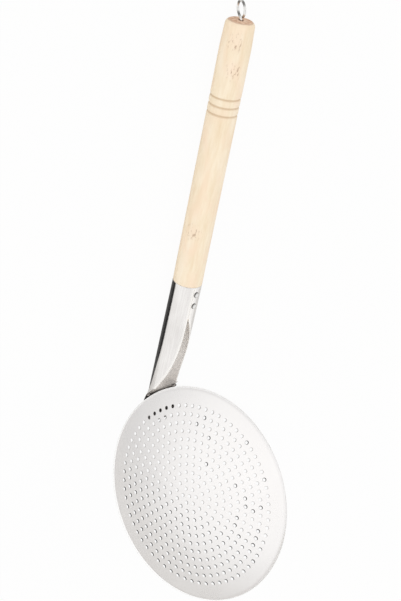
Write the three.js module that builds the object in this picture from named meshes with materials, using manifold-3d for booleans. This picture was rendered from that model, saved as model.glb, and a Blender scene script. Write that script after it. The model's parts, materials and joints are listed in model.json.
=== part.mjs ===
// Perforated kitchen skimmer: a pressed steel bowl, tack-welded to a socket that is rolled from one
// flat blank, with a turned wooden handle nailed into the socket and a screw eye to hang it by.
// Millimetres. The bowl is drawn with its rim level, the middle of the rim at the origin and the
// handle rising along +X. The whole skimmer is then laid down as it rests on a table, +Z up.
import * as THREE from 'three';
import { mergeVertices } from 'three/addons/utils/BufferGeometryUtils.js';
import Module from 'manifold-3d';

const wasm = await Module();
wasm.setup();
const { clamp, degToRad, inverseLerp, lerp, smoothstep } = THREE.MathUtils;

// Bowl: one pressed sheet with a short upright rim, punched with rings of holes
const rimDiameter = 228;
const rimWall = 2;
const dishDepth = 26;
const bowlSheet = 0.7;
const holeDiameter = 4;
const holePitch = 8.65;
const holeMargin = 16;
const holesAddedPerRing = 6;
const holeTurn = degToRad(-26.5);
const holeSides = 6;
const rimSegments = 66;

// Socket: a flat tongue behind the bowl, a bend, an open trough and a closed tube
const socketSheet = 0.8;
const socketAngle = degToRad(48.6);
const tongueOverlap = 24.2;
const tongueLength = 26.7;
const tongueSlope = degToRad(5.2);
const tongueWidth = 41;
const tongueOffset = 3.5;
const tongueCorner = 6;
const flareStart = 18;
const flareEnd = 30;
const flareWidth = 53;
const flareOffset = 0.5;
const curlStart = 14;
const bendRadius = 20;
const troughLength = 84;
const tubeLength = 41;
const seamGap = 0.5;
const seamOffset = 3.4;
const earlySpread = 3;
const lateSpread = 1.7;
const blankColumns = 26;
const cornerRows = 3;
const tongueRows = 5;
const bendRows = 6;
const troughRows = 8;

// Wooden handle: a dowel with three grooves, slightly tapered to a rounded end, and a tenon in the socket
const handleDiameter = 30;
const handleLength = 272;
const handleLean = degToRad(-1.3);
const handleTaper = 0.8;
const handleTaperLength = 25;
const handleEndRadius = 5;
const tenonShoulder = 1;
const tenonLength = 40;
const grooveFromEnd = 73.5;
const grooveSpacing = 8.2;
const grooveCount = 3;
const grooveDepth = 1.1;
const grooveWidth = 2.4;
const handleSides = 28;

// Nails through the closed tube into the tenon
const nailHeadDiameter = 6;
const nailHeadHeight = 1.3;
const nailShankDiameter = 2.2;
const nailLength = 13;
const nailFromMouth = 8.6;
const nailSpacing = 13;
const nailSides = 12;

// Screw eye in the end of the handle, screwed in a little askew
const eyeDiameter = 17.5;
const eyeWire = 2.3;
const eyeNeck = 1.5;
const eyeScrewLength = 18;
const eyeMouthGap = 0.6;
const eyeTurn = degToRad(-112);
const eyeTilt = degToRad(14);
const eyeTiltSide = degToRad(-45);
const eyeSides = 8;
const eyeSteps = 30;

// Welds: a tack in the crevice beside the rim at each wing of the trough, and a bead at the tongue's tip
const tackDiameter = 3;
const tackLength = 6;
const tackFromEdge = 5;
const beadDiameter = 2.8;
const beadLength = 24;
const weldSides = 12;
const weldRows = 8;

// Fits
const clearance = 0.3;

// Fineness of the working: points taken as one, the place of a tack, and the test for compact triangles
const mergeDistance = 1e-4;
const seatTolerance = 1e-3;
const compactTolerance = 1e-9;

// Resting on a table: which way the skimmer rolls over, and how often its touching points are found
const restingRoll = degToRad(20);
const restingTurns = 12;

const bowlSteel = new THREE.MeshStandardMaterial({ color: 0xd8d9da, roughness: 0.34, metalness: 1 });
const socketSteel = new THREE.MeshStandardMaterial({ color: 0xd6d5d3, roughness: 0.28, metalness: 1 });
const wireSteel = new THREE.MeshStandardMaterial({ color: 0xc3c3c2, roughness: 0.24, metalness: 1 });
const weldSteel = new THREE.MeshStandardMaterial({ color: 0xa9a5a0, roughness: 0.45, metalness: 1 });
const paleWood = new THREE.MeshStandardMaterial({ color: 0xf0ddbf, roughness: 0.62, metalness: 0 });

// A closed three.js geometry becomes a body that can be joined and cut
function toSolid(geometry) {
  const bare = geometry.clone();
  bare.deleteAttribute('normal');
  bare.deleteAttribute('uv');
  const merged = mergeVertices(bare, mergeDistance);
  return new wasm.Manifold(new wasm.Mesh({
    numProp: 3,
    vertProperties: new Float32Array(merged.attributes.position.array),
    triVerts: new Uint32Array(merged.index.array),
  }));
}

function toGeometry(solid) {
  const mesh = solid.getMesh();
  const geometry = new THREE.BufferGeometry();
  geometry.setAttribute('position', new THREE.BufferAttribute(mesh.vertProperties, 3));
  geometry.setIndex(new THREE.BufferAttribute(mesh.triVerts, 1));
  geometry.computeVertexNormals();
  return geometry;
}

function piece(name, geometry, material) {
  const mesh = new THREE.Mesh(geometry, material);
  mesh.name = name;
  return mesh;
}

// Moves every vertex of a geometry to the point that a function gives for it
function reshape(geometry, place) {
  const positions = geometry.attributes.position;
  const point = new THREE.Vector3();
  for (let i = 0; i < positions.count; i += 1) {
    point.copy(place(point.fromBufferAttribute(positions, i)));
    positions.setXYZ(i, point.x, point.y, point.z);
  }
  return geometry;
}

// A profile of [radius, height] pairs turned about +Z
function turned(profile, sides) {
  const points = profile.map(([radius, height]) => new THREE.Vector2(radius, height));
  return new THREE.LatheGeometry(points, sides).rotateX(Math.PI / 2);
}

// The same, turned about +X
function turnedAlong(profile, sides) {
  return turned(profile, sides).rotateY(Math.PI / 2);
}

function circlePoints(centre, radius, sides) {
  return Array.from({ length: sides }, (_, i) => {
    const angle = (i * 2 * Math.PI) / sides - Math.PI / 2;
    return new THREE.Vector2(centre.x + radius * Math.cos(angle), centre.y + radius * Math.sin(angle));
  });
}

// Bowl: a flat punched disc pressed onto a sphere, with the upright rim turned round its edge
const rimRadius = rimDiameter / 2;
const capRadius = rimRadius - bowlSheet;
const capDepth = dishDepth - rimWall;
const sphereRadius = (capRadius ** 2 + capDepth ** 2) / (2 * capDepth);
const sphereHeight = sphereRadius - dishDepth;

function holeCentres() {
  const centres = [new THREE.Vector2()];
  const ringCount = Math.floor((capRadius - holeMargin) / holePitch);
  for (let ring = 1; ring <= ringCount; ring += 1) {
    const count = holesAddedPerRing * ring;
    for (let i = 0; i < count; i += 1) {
      const angle = holeTurn + ((i + 0.5) * 2 * Math.PI) / count;
      centres.push(new THREE.Vector2(Math.cos(angle), Math.sin(angle)).multiplyScalar(ring * holePitch));
    }
  }
  return centres;
}

function onSphere(point, radius) {
  const reach = radius / sphereRadius;
  const drop = Math.sqrt(sphereRadius ** 2 - point.lengthSq());
  return new THREE.Vector3(point.x * reach, point.y * reach, sphereHeight - drop * reach);
}

// How far inside the circle through three corners a fourth point lies
function insideCircle(a, b, c, d) {
  const row = (point) => [point.x - d.x, point.y - d.y, (point.x - d.x) ** 2 + (point.y - d.y) ** 2];
  return new THREE.Matrix3().set(...row(a), ...row(b), ...row(c)).determinant();
}

// Swaps the shared edges of a flat net of triangles until each triangle is as compact as it can be,
// so that no long sliver cuts across the hollow of the pressed sheet
function compactTriangles(points, faces) {
  const net = faces.map(([a, b, c]) => {
    const turnsLeft = points[b].clone().sub(points[a]).cross(points[c].clone().sub(points[a])) > 0;
    return turnsLeft ? [a, b, c] : [a, c, b];
  });
  const owner = new Map();
  const edgeKey = (from, to) => from * points.length + to;
  const claim = (face) => net[face].forEach((from, i) => {
    owner.set(edgeKey(from, net[face][(i + 1) % 3]), face);
  });
  net.forEach((_, face) => claim(face));
  const waiting = [...owner.keys()];
  while (waiting.length > 0) {
    const key = waiting.pop();
    const from = Math.floor(key / points.length);
    const to = key % points.length;
    const left = owner.get(key);
    const right = owner.get(edgeKey(to, from));
    if (left === undefined || right === undefined) continue;
    const leftTip = net[left].find((corner) => corner !== from && corner !== to);
    const rightTip = net[right].find((corner) => corner !== from && corner !== to);
    const inside = insideCircle(points[from], points[to], points[leftTip], points[rightTip]);
    if (inside < compactTolerance * holePitch ** 4) continue;
    owner.delete(key);
    owner.delete(edgeKey(to, from));
    net[left] = [from, rightTip, leftTip];
    net[right] = [to, leftTip, rightTip];
    claim(left);
    claim(right);
    const around = [from, rightTip, to, leftTip];
    around.forEach((corner, i) => waiting.push(edgeKey(corner, around[(i + 1) % 4])));
  }
  return net;
}

function makeBowl() {
  const edge = circlePoints(new THREE.Vector2(), capRadius, rimSegments);
  const holes = holeCentres().map((centre) => circlePoints(centre, holeDiameter / 2, holeSides));
  const flat = [edge, ...holes].flat();
  const net = compactTriangles(flat, THREE.ShapeUtils.triangulateShape(edge, holes));
  const rimRing = (radius) => circlePoints(new THREE.Vector2(), radius, rimSegments)
    .map((point) => new THREE.Vector3(point.x, point.y, 0));
  const points = [
    ...flat.map((point) => onSphere(point, sphereRadius)),
    ...flat.map((point) => onSphere(point, sphereRadius + bowlSheet)),
    ...rimRing(capRadius), ...rimRing(rimRadius),
  ];
  const back = flat.length;
  const rimInside = 2 * back;
  const rimOutside = rimInside + rimSegments;
  const triangles = net.flatMap(([a, b, c]) => [a, b, c, back + a, back + c, back + b]);
  const band = (first, second, count) => {
    for (let i = 0; i < count; i += 1) {
      const next = (i + 1) % count;
      triangles.push(first + i, first + next, second + next, first + i, second + next, second + i);
    }
  };
  holes.forEach((_, hole) => {
    const first = rimSegments + hole * holeSides;
    band(first, back + first, holeSides);
  });
  band(rimInside, 0, rimSegments);
  band(rimOutside, rimInside, rimSegments);
  band(back, rimOutside, rimSegments);
  return new THREE.BufferGeometry().setFromPoints(points).setIndex(triangles);
}

// Socket: the bottom line of its inner face starts just under the back of the bowl and runs nearly
// level, out below the rim, so a deep pocket opens behind it. Then it bends up and runs straight
const tenonRadius = handleDiameter / 2 - tenonShoulder;
const tubeRadius = tenonRadius + clearance;
const backRadius = sphereRadius + bowlSheet + clearance;
const tipReach = rimRadius - tongueOverlap;
const tipHeight = sphereHeight - Math.sqrt(backRadius ** 2 - tipReach ** 2);
const bendEnd = tongueLength + bendRadius * (socketAngle - tongueSlope);
const apexAlong = bendEnd + troughLength;
const mouthAlong = apexAlong + tubeLength;

// A place on the bottom line, by its distance up the line from the tip of the tongue
function bottomLine(along) {
  const onTongue = Math.min(along, tongueLength);
  const onBend = Math.min(Math.max(along, tongueLength), bendEnd) - tongueLength;
  const onStraight = Math.max(along - bendEnd, 0);
  const slope = tongueSlope + onBend / bendRadius;
  return {
    slope,
    x: tipReach + onTongue * Math.cos(tongueSlope)
      + bendRadius * (Math.sin(slope) - Math.sin(tongueSlope)) + onStraight * Math.cos(slope),
    z: tipHeight + onTongue * Math.sin(tongueSlope)
      + bendRadius * (Math.cos(tongueSlope) - Math.cos(slope)) + onStraight * Math.sin(slope),
  };
}

// A point of the socket: across runs round the section, and lift stands off the inner face
function socketPoint(along, across, lift) {
  const line = bottomLine(along);
  const curl = smoothstep(along, curlStart, bendEnd);
  const sectionRadius = 1 / lerp(1 / backRadius, 1 / tubeRadius, curl);
  const angle = across / sectionRadius;
  const rise = sectionRadius - (sectionRadius - lift) * Math.cos(angle);
  return new THREE.Vector3(
    line.x - rise * Math.sin(line.slope),
    (sectionRadius - lift) * Math.sin(angle),
    line.z + rise * Math.cos(line.slope),
  );
}

// How far a distance has come from one place to another, from 0 to 1
function share(along, from, to) {
  return clamp(inverseLerp(from, to, along), 0, 1);
}

// The left (+1) or right (-1) edge of the blank, by its distance from the bottom line: a round corner
// on the tongue, a flare where it passes the rim, then a spread up the trough until the edges meet,
// early on the left and late on the right
function blankEdge(along, side) {
  const intoCorner = Math.max(tongueCorner - along, 0);
  const cornerCut = tongueCorner - Math.sqrt(tongueCorner ** 2 - intoCorner ** 2);
  const tongue = side * tongueWidth / 2 + tongueOffset;
  const flare = side * flareWidth / 2 + flareOffset;
  const tube = side * (Math.PI * tubeRadius - seamGap / 2) - seamOffset;
  const closed = share(along, bendEnd, apexAlong);
  const spread = side > 0 ? 1 - (1 - closed) ** earlySpread : closed ** lateSpread;
  return lerp(lerp(tongue, flare, share(along, flareStart, flareEnd)), tube, spread) - side * cornerCut;
}

function steps(from, to, count) {
  return Array.from({ length: count }, (_, i) => lerp(from, to, i / count));
}

function makeSocket() {
  const rows = [
    ...steps(0, tongueCorner, cornerRows), ...steps(tongueCorner, tongueLength, tongueRows),
    ...steps(tongueLength, bendEnd, bendRows), ...steps(bendEnd, apexAlong, troughRows),
    apexAlong, mouthAlong,
  ];
  const blank = new THREE.BoxGeometry(1, 1, 1, blankColumns, 1, rows.length - 1);
  return toSolid(reshape(blank, (point) => {
    const along = rows[Math.round((point.z + 0.5) * (rows.length - 1))];
    const across = lerp(blankEdge(along, -1), blankEdge(along, 1), point.x + 0.5);
    return socketPoint(along, across, point.y > 0 ? 0 : -socketSheet);
  }));
}

// Handle frame: the middle of the socket's mouth, +X out along the socket, +Z to the hollow side
const handleFrame = new THREE.Group();
handleFrame.position.copy(socketPoint(mouthAlong, 0, tubeRadius));
handleFrame.rotation.y = -socketAngle;
handleFrame.updateMatrix();

// Lean frame: the dowel leaves the mouth a little off the line of the socket
const leanFrame = new THREE.Group();
leanFrame.rotation.y = -handleLean;
leanFrame.updateMatrix();

// Eye frame: the middle of the handle's end, +X out along the shank of the screw eye
const eyeFrame = new THREE.Group();
eyeFrame.position.x = handleLength;
eyeFrame.rotation.set(eyeTiltSide, 0, eyeTilt);
eyeFrame.updateMatrix();

const quarterTurn = [0, 30, 60, 90].map(degToRad);
const nailPlaces = { upper_nail: -nailFromMouth, lower_nail: -nailFromMouth - nailSpacing };
const nailSeat = tubeRadius + socketSheet + clearance;

function nailDrill(along) {
  const radius = nailShankDiameter / 2 + clearance;
  const foot = nailSeat - nailLength - clearance;
  return turned([[0, foot], [radius, foot], [radius, nailSeat], [0, nailSeat]], nailSides)
    .translate(along, 0, 0);
}

function makeNail() {
  const head = nailHeadDiameter / 2;
  const shank = nailShankDiameter / 2;
  const point = nailSeat - nailLength;
  const dome = quarterTurn.map(
    (angle) => [head * Math.cos(angle), nailSeat + nailHeadHeight * Math.sin(angle)],
  );
  return turned([[0, point], [shank, point + nailShankDiameter], [shank, nailSeat], ...dome], nailSides);
}

// Wooden handle: grooves near the far end, a rounded end, and the tenon joined on below the mouth
function dowelProfile() {
  const radius = handleDiameter / 2;
  const foot = -handleDiameter / 4;
  const profile = [[0, foot], [radius, foot]];
  for (let i = grooveCount - 1; i >= 0; i -= 1) {
    const middle = handleLength - grooveFromEnd - i * grooveSpacing;
    profile.push([radius, middle - grooveWidth / 2], [radius - grooveDepth, middle]);
    profile.push([radius, middle + grooveWidth / 2]);
  }
  profile.push([radius, handleLength - handleTaperLength]);
  for (const angle of quarterTurn) {
    profile.push([
      radius - handleTaper - handleEndRadius * (1 - Math.cos(angle)),
      handleLength - handleEndRadius * (1 - Math.sin(angle)),
    ]);
  }
  profile.push([0, handleLength]);
  return profile;
}

function makeHandle() {
  const dowel = toSolid(turnedAlong(dowelProfile(), handleSides).applyMatrix4(leanFrame.matrix));
  const belowMouth = new THREE.BoxGeometry(handleDiameter, 2 * handleDiameter, 2 * handleDiameter)
    .translate(clearance - handleDiameter / 2, 0, 0);
  const tenon = turnedAlong([
    [0, -tenonLength], [tenonRadius, -tenonLength], [tenonRadius, 2 * clearance], [0, 2 * clearance],
  ], handleSides);
  const pilotRadius = eyeWire / 2 + clearance;
  const pilotFoot = -eyeScrewLength - clearance;
  const pilot = turnedAlong([
    [0, pilotFoot], [pilotRadius, pilotFoot], [pilotRadius, eyeWire], [0, eyeWire],
  ], eyeSides).applyMatrix4(eyeFrame.matrix).applyMatrix4(leanFrame.matrix);
  return Object.values(nailPlaces).reduce(
    (wood, along) => wood.subtract(toSolid(nailDrill(along))),
    dowel.subtract(toSolid(belowMouth)).add(toSolid(tenon)).subtract(toSolid(pilot)),
  );
}

// Screw eye: a straight shank, and a ring of wire that stops just short of it
class RingWire extends THREE.Curve {
  getPoint(t, target = new THREE.Vector3()) {
    const radius = (eyeDiameter - eyeWire) / 2;
    const gapAngle = (eyeWire + eyeMouthGap) / radius;
    const angle = t * (2 * Math.PI - gapAngle);
    const middle = eyeNeck + eyeDiameter / 2;
    return target.set(middle - radius * Math.cos(angle), radius * Math.sin(angle), 0);
  }
}

function makeEye() {
  const section = new THREE.Shape(circlePoints(new THREE.Vector2(), eyeWire / 2, eyeSides));
  const ring = new THREE.ExtrudeGeometry(section, {
    steps: eyeSteps, bevelEnabled: false, extrudePath: new RingWire(),
  });
  const shankTop = eyeNeck + eyeWire / 2;
  const shank = turnedAlong([
    [0, -eyeScrewLength], [eyeWire / 2, eyeWire - eyeScrewLength],
    [eyeWire / 2, shankTop], [0, shankTop],
  ], eyeSides);
  return toSolid(ring).add(toSolid(shank));
}

// A tack weld lies in the crevice, one clearance off the rim and two off the wing of the trough, whose
// flat facets stand a little inside its curve
function makeTack(across) {
  const radius = tackDiameter / 2;
  const lift = radius + 2 * clearance;
  const reach = rimRadius + radius + clearance;
  let low = 0;
  let high = apexAlong;
  while (high - low > seatTolerance) {
    const along = (low + high) / 2;
    const point = socketPoint(along, across, lift);
    if (Math.hypot(point.x, point.y) < reach) low = along;
    else high = along;
  }
  const seat = socketPoint(high, across, lift);
  const ahead = socketPoint(high, across + radius, lift).sub(seat).normalize();
  const lie = new THREE.Quaternion().setFromUnitVectors(new THREE.Vector3(0, 1, 0), ahead);
  return new THREE.SphereGeometry(radius, weldSides, weldRows)
    .scale(1, tackLength / tackDiameter, 1)
    .applyQuaternion(lie)
    .translate(seat.x, seat.y, seat.z);
}

// The bead lies across the tip of the tongue, under the bowl
function makeBead() {
  const radius = beadDiameter / 2;
  const reach = tipReach - clearance - radius;
  const height = sphereHeight - Math.sqrt((backRadius + radius) ** 2 - reach ** 2);
  return new THREE.SphereGeometry(radius, weldSides, weldRows)
    .scale(1, beadLength / beadDiameter, 1)
    .translate(reach, tongueOffset, height);
}

const skimmer = new THREE.Group();
const laid = new THREE.Group();
skimmer.add(laid);

const bowl = piece('bowl', makeBowl(), bowlSteel);
const socketSolid = Object.values(nailPlaces).reduce(
  (solid, along) => solid.subtract(toSolid(nailDrill(along).applyMatrix4(handleFrame.matrix))),
  makeSocket(),
);
const socket = piece('handle_socket', toGeometry(socketSolid), socketSteel);
laid.add(bowl, socket, handleFrame);
const tackReach = flareWidth / 2 - tackFromEdge;
laid.add(
  piece('left_weld_tack', makeTack(flareOffset + tackReach), weldSteel),
  piece('right_weld_tack', makeTack(flareOffset - tackReach), weldSteel),
  piece('tongue_weld', makeBead(), weldSteel),
);

const handle = piece('wooden_handle', toGeometry(makeHandle()), paleWood);
handleFrame.add(leanFrame, handle);
for (const [name, along] of Object.entries(nailPlaces)) {
  const nail = piece(name, makeNail(), wireSteel);
  nail.position.x = along;
  handleFrame.add(nail);
}
const eye = piece('screw_eye', toGeometry(makeEye()), wireSteel);
eye.rotation.x = eyeTurn - eyeTiltSide;
eyeFrame.add(eye);
leanFrame.add(eyeFrame);

// At rest the handle, the socket and one side of the rim touch the table. The table is the plane
// through the lowest point of each, found again as the skimmer turns, until it stays the same
function lowestPoint(mesh, up) {
  const positions = mesh.geometry.attributes.position;
  const point = new THREE.Vector3();
  const lowest = new THREE.Vector3();
  let least = Infinity;
  for (let i = 0; i < positions.count; i += 1) {
    point.fromBufferAttribute(positions, i).applyMatrix4(mesh.matrixWorld);
    if (point.dot(up) < least) {
      least = point.dot(up);
      lowest.copy(point);
    }
  }
  return lowest;
}

function tableUp() {
  const up = new THREE.Vector3(-Math.sin(socketAngle), Math.sin(restingRoll), Math.cos(socketAngle));
  const table = new THREE.Plane();
  for (let turn = 0; turn < restingTurns; turn += 1) {
    table.setFromCoplanarPoints(...[handle, socket, bowl].map((mesh) => lowestPoint(mesh, up)));
    up.copy(table.normal).multiplyScalar(Math.sign(table.normal.z));
  }
  return up;
}

skimmer.updateMatrixWorld(true);
const restUp = tableUp();
const restSide = restUp.clone().cross(new THREE.Vector3(1, 0, 0).transformDirection(handleFrame.matrix));
const restAlong = restSide.normalize().clone().cross(restUp);
laid.quaternion.setFromRotationMatrix(
  new THREE.Matrix4().makeBasis(restAlong, restSide, restUp).transpose(),
);
skimmer.updateMatrixWorld(true);
const box = new THREE.Box3().setFromObject(skimmer, true);
const centre = box.getCenter(new THREE.Vector3());
laid.position.set(-centre.x, -centre.y, -box.min.z);

export default skimmer;
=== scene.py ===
import json
import math

import bmesh
import bpy
import numpy as np
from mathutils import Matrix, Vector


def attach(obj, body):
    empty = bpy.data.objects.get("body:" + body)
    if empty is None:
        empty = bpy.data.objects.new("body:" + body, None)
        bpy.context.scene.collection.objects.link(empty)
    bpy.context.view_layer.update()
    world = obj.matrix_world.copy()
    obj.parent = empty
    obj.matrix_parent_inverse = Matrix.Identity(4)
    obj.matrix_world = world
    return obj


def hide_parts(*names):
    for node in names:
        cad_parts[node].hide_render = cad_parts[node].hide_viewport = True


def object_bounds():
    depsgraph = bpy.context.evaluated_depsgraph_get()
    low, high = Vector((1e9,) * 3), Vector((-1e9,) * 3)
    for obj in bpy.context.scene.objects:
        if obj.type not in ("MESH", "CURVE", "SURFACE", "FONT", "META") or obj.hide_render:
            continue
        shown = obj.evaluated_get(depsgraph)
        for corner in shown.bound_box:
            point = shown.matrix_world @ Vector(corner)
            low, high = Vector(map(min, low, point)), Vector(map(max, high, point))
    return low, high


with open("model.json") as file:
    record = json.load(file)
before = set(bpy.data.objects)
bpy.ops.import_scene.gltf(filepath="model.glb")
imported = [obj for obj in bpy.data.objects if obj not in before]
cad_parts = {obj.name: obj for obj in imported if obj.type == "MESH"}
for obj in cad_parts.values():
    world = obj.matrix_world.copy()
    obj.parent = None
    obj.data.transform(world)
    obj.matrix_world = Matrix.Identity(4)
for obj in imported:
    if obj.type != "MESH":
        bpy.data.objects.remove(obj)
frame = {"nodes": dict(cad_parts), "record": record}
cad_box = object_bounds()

# The skimmer's own axes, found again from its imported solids, because it lies tipped over on a table.
# Shapes are drawn in millimetres with the rim level, its middle at the origin, X towards the handle
# and Z out of the hollow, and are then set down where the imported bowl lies.
MILLIMETRE = 0.001
bowl_vertices = frame["nodes"]["bowl"].data.vertices
bowl_solid = np.empty(3 * len(bowl_vertices), dtype=np.float32)
bowl_vertices.foreach_get("co", bowl_solid)
bowl_solid = bowl_solid.astype(float).reshape(-1, 3)
bowl_middle = bowl_solid.mean(axis=0)
bowl_spread = np.linalg.svd(bowl_solid - bowl_middle, full_matrices=False)[2]
mounts = {mount["name"]: mount for mount in frame["record"]["mounts"]}
handle_way = np.array(mounts["handle_end"]["axis"])
hollow_way = bowl_spread[2] * np.sign(bowl_spread[2] @ handle_way)
rim_lift = ((bowl_solid - bowl_middle) @ hollow_way).max()
rim_middle = bowl_middle + rim_lift * hollow_way
forward_way = handle_way - (handle_way @ hollow_way) * hollow_way
forward_way = forward_way / np.linalg.norm(forward_way)
bowl_axes = np.stack([forward_way, np.cross(hollow_way, forward_way), hollow_way])


def laid(points):
    """Points in the skimmer's own millimetres, moved to where it lies, in metres."""
    return rim_middle + MILLIMETRE * np.asarray(points) @ bowl_axes


# The camera stands where the photograph was taken from: over the left side of the hollow, 1.4 metres
# off, with the picture turned so that the handle points up.
CAMERA_PLACE = (40.7, 916.4, 1066.2)
CAMERA_RIGHT = np.array((-0.38725, -0.69385, 0.60713))
CAMERA_UP = np.array((0.91625, -0.21635, 0.33716))
PHOTO_HEIGHT = 601
FOCAL_PIXELS = 1331.7
SENSOR_HEIGHT = 24
VIEW_END = 50

camera_data = bpy.data.cameras.new("camera")
camera_data.sensor_fit = "VERTICAL"
camera_data.sensor_height = SENSOR_HEIGHT
camera_data.lens = SENSOR_HEIGHT * FOCAL_PIXELS / PHOTO_HEIGHT
camera_data.clip_end = VIEW_END
camera = bpy.data.objects.new("camera", camera_data)
bpy.context.scene.collection.objects.link(camera)
camera_turn = np.eye(4)
camera_turn[:3, 0] = CAMERA_RIGHT @ bowl_axes
camera_turn[:3, 1] = CAMERA_UP @ bowl_axes
camera_turn[:3, 2] = np.cross(CAMERA_RIGHT, CAMERA_UP) @ bowl_axes
camera_turn[:3, 3] = laid(CAMERA_PLACE)
camera.matrix_world = camera_turn.T.tolist()
bpy.context.scene.camera = camera
bpy.context.scene.view_settings.view_transform = "Standard"


# Bowl: one sheet of stainless steel, pressed to a shallow dish with a short upright rim, and punched
# with rings of round holes. The punch leaves a clean edge on the hollow side and a burr behind.
RIM_RADIUS = 114
RIM_WALL = 2
DISH_DEPTH = 26
BOWL_SHEET = 0.7
HOLE_RADIUS = 2
HOLE_PITCH = 8.65
HOLE_RINGS = 11
HOLES_ADDED = 6
HOLE_TURN = math.radians(-26.5)
HOLE_SIDES = 24
RING_GAP = 0.15
PUNCH_EDGE = 0.12
WALL_LEAN = 0.25
BURR_WIDTH = 0.25
BURR_HEIGHT = 0.25
RIM_FILLET = 0.8
MARGIN_STEPS = 6
# Painted shade on the hole walls: its least share, and how far it takes to deepen to the left and back.
WALL_SHADE_LEAST = 0.25
WALL_SHADE_REACH = 36
DIRTY_SHARE = 0.17
DIRTY_SIDE = -27
DIRTY_SEED = 5
SATIN_DARK = (0.83, 0.81, 0.80, 1)
SATIN_LIGHT = (0.90, 0.885, 0.875, 1)
SATIN_ROUGHNESS = 0.3
# Colour of the painted shade on the hole walls, also used for the dirt in dirty holes.
HOLE_SHADE_AND_DIRT = (0.05, 0.047, 0.045, 1)
# Painted highlight on the upright rim.
RIM_HIGHLIGHT = (0.99, 0.985, 0.98, 1)
WELD_DISTANCE = 1e-6
SHARP_ANGLE = math.radians(38)

cap_radius = RIM_RADIUS - BOWL_SHEET
cap_depth = DISH_DEPTH - RIM_WALL
sphere_radius = (cap_radius ** 2 + cap_depth ** 2) / (2 * cap_depth)
sphere_height = sphere_radius - DISH_DEPTH


def pressed(flat, lift):
    """Flat points dropped straight onto the dish's sphere, then moved by lift towards the middle of the
    sphere, which is on the hollow side."""
    reach = 1 - lift / sphere_radius
    drop = np.sqrt(sphere_radius ** 2 - (flat ** 2).sum(axis=-1, keepdims=True))
    return np.concatenate([flat * reach, sphere_height - drop * reach], axis=-1)


def share(value, start, end):
    """How far a value has come from start to end, from 0 to 1."""
    return np.clip((value - start) / (end - start), 0, 1)


def polar(radius, bearing):
    """Flat points at a distance from the middle and a bearing round it."""
    return np.stack([radius * np.cos(bearing), radius * np.sin(bearing)], axis=-1)


def wrapped_quads(index):
    """Faces of grids of vertex numbers that close on themselves along the last direction but one."""
    ahead = np.roll(index, -1, axis=-2)
    corners = [index[..., :-1], ahead[..., :-1], ahead[..., 1:], index[..., 1:]]
    return np.stack(corners, axis=-1).reshape(-1, 4)


def ring_strip(inner, inner_bearing, outer, outer_bearing):
    """Triangles between two rings of points: all points are taken in the order of their bearings, and
    each step joins the latest point of both rings to the next point of either."""
    bearing = np.concatenate([inner_bearing, outer_bearing]) % (2 * math.pi)
    order = np.argsort(bearing, kind="stable")
    number = np.concatenate([inner, outer])[order]
    is_outer = order >= len(inner)

    def latest(chosen):
        """The last chosen point up to each step. Before the first one, it is the last of all."""
        place = np.maximum.accumulate(np.where(chosen, np.arange(len(order)), -1))
        return number[np.where(place < 0, np.flatnonzero(chosen)[-1], place)]

    return np.stack([latest(~is_outer), latest(is_outer), np.roll(number, -1)], axis=-1)


def add_piece(name, surface, node, finish):
    """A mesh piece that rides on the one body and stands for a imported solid, with doubled points welded.
    A surface is its points, its faces and, by name, any marks on its points that the finish reads."""
    points, faces, marks = surface
    mesh = bpy.data.meshes.new(name)
    mesh.from_pydata(laid(points).tolist(), [], [face for group in faces for face in group.tolist()])
    for mark, values in marks.items():
        layer = mesh.attributes.new(mark, "FLOAT", "POINT")
        layer.data.foreach_set("value", values.astype(np.float32).ravel())
    work = bmesh.new()
    work.from_mesh(mesh)
    bmesh.ops.remove_doubles(work, verts=work.verts, dist=WELD_DISTANCE)
    bmesh.ops.dissolve_degenerate(work, edges=work.edges, dist=WELD_DISTANCE)
    work.to_mesh(mesh)
    work.free()
    mesh.shade_smooth()
    mesh.set_sharp_from_angle(angle=SHARP_ANGLE)
    mesh.materials.append(finish)
    piece = bpy.data.objects.new(name, mesh)
    bpy.context.scene.collection.objects.link(piece)
    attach(piece, "root")
    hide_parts(node)


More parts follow.
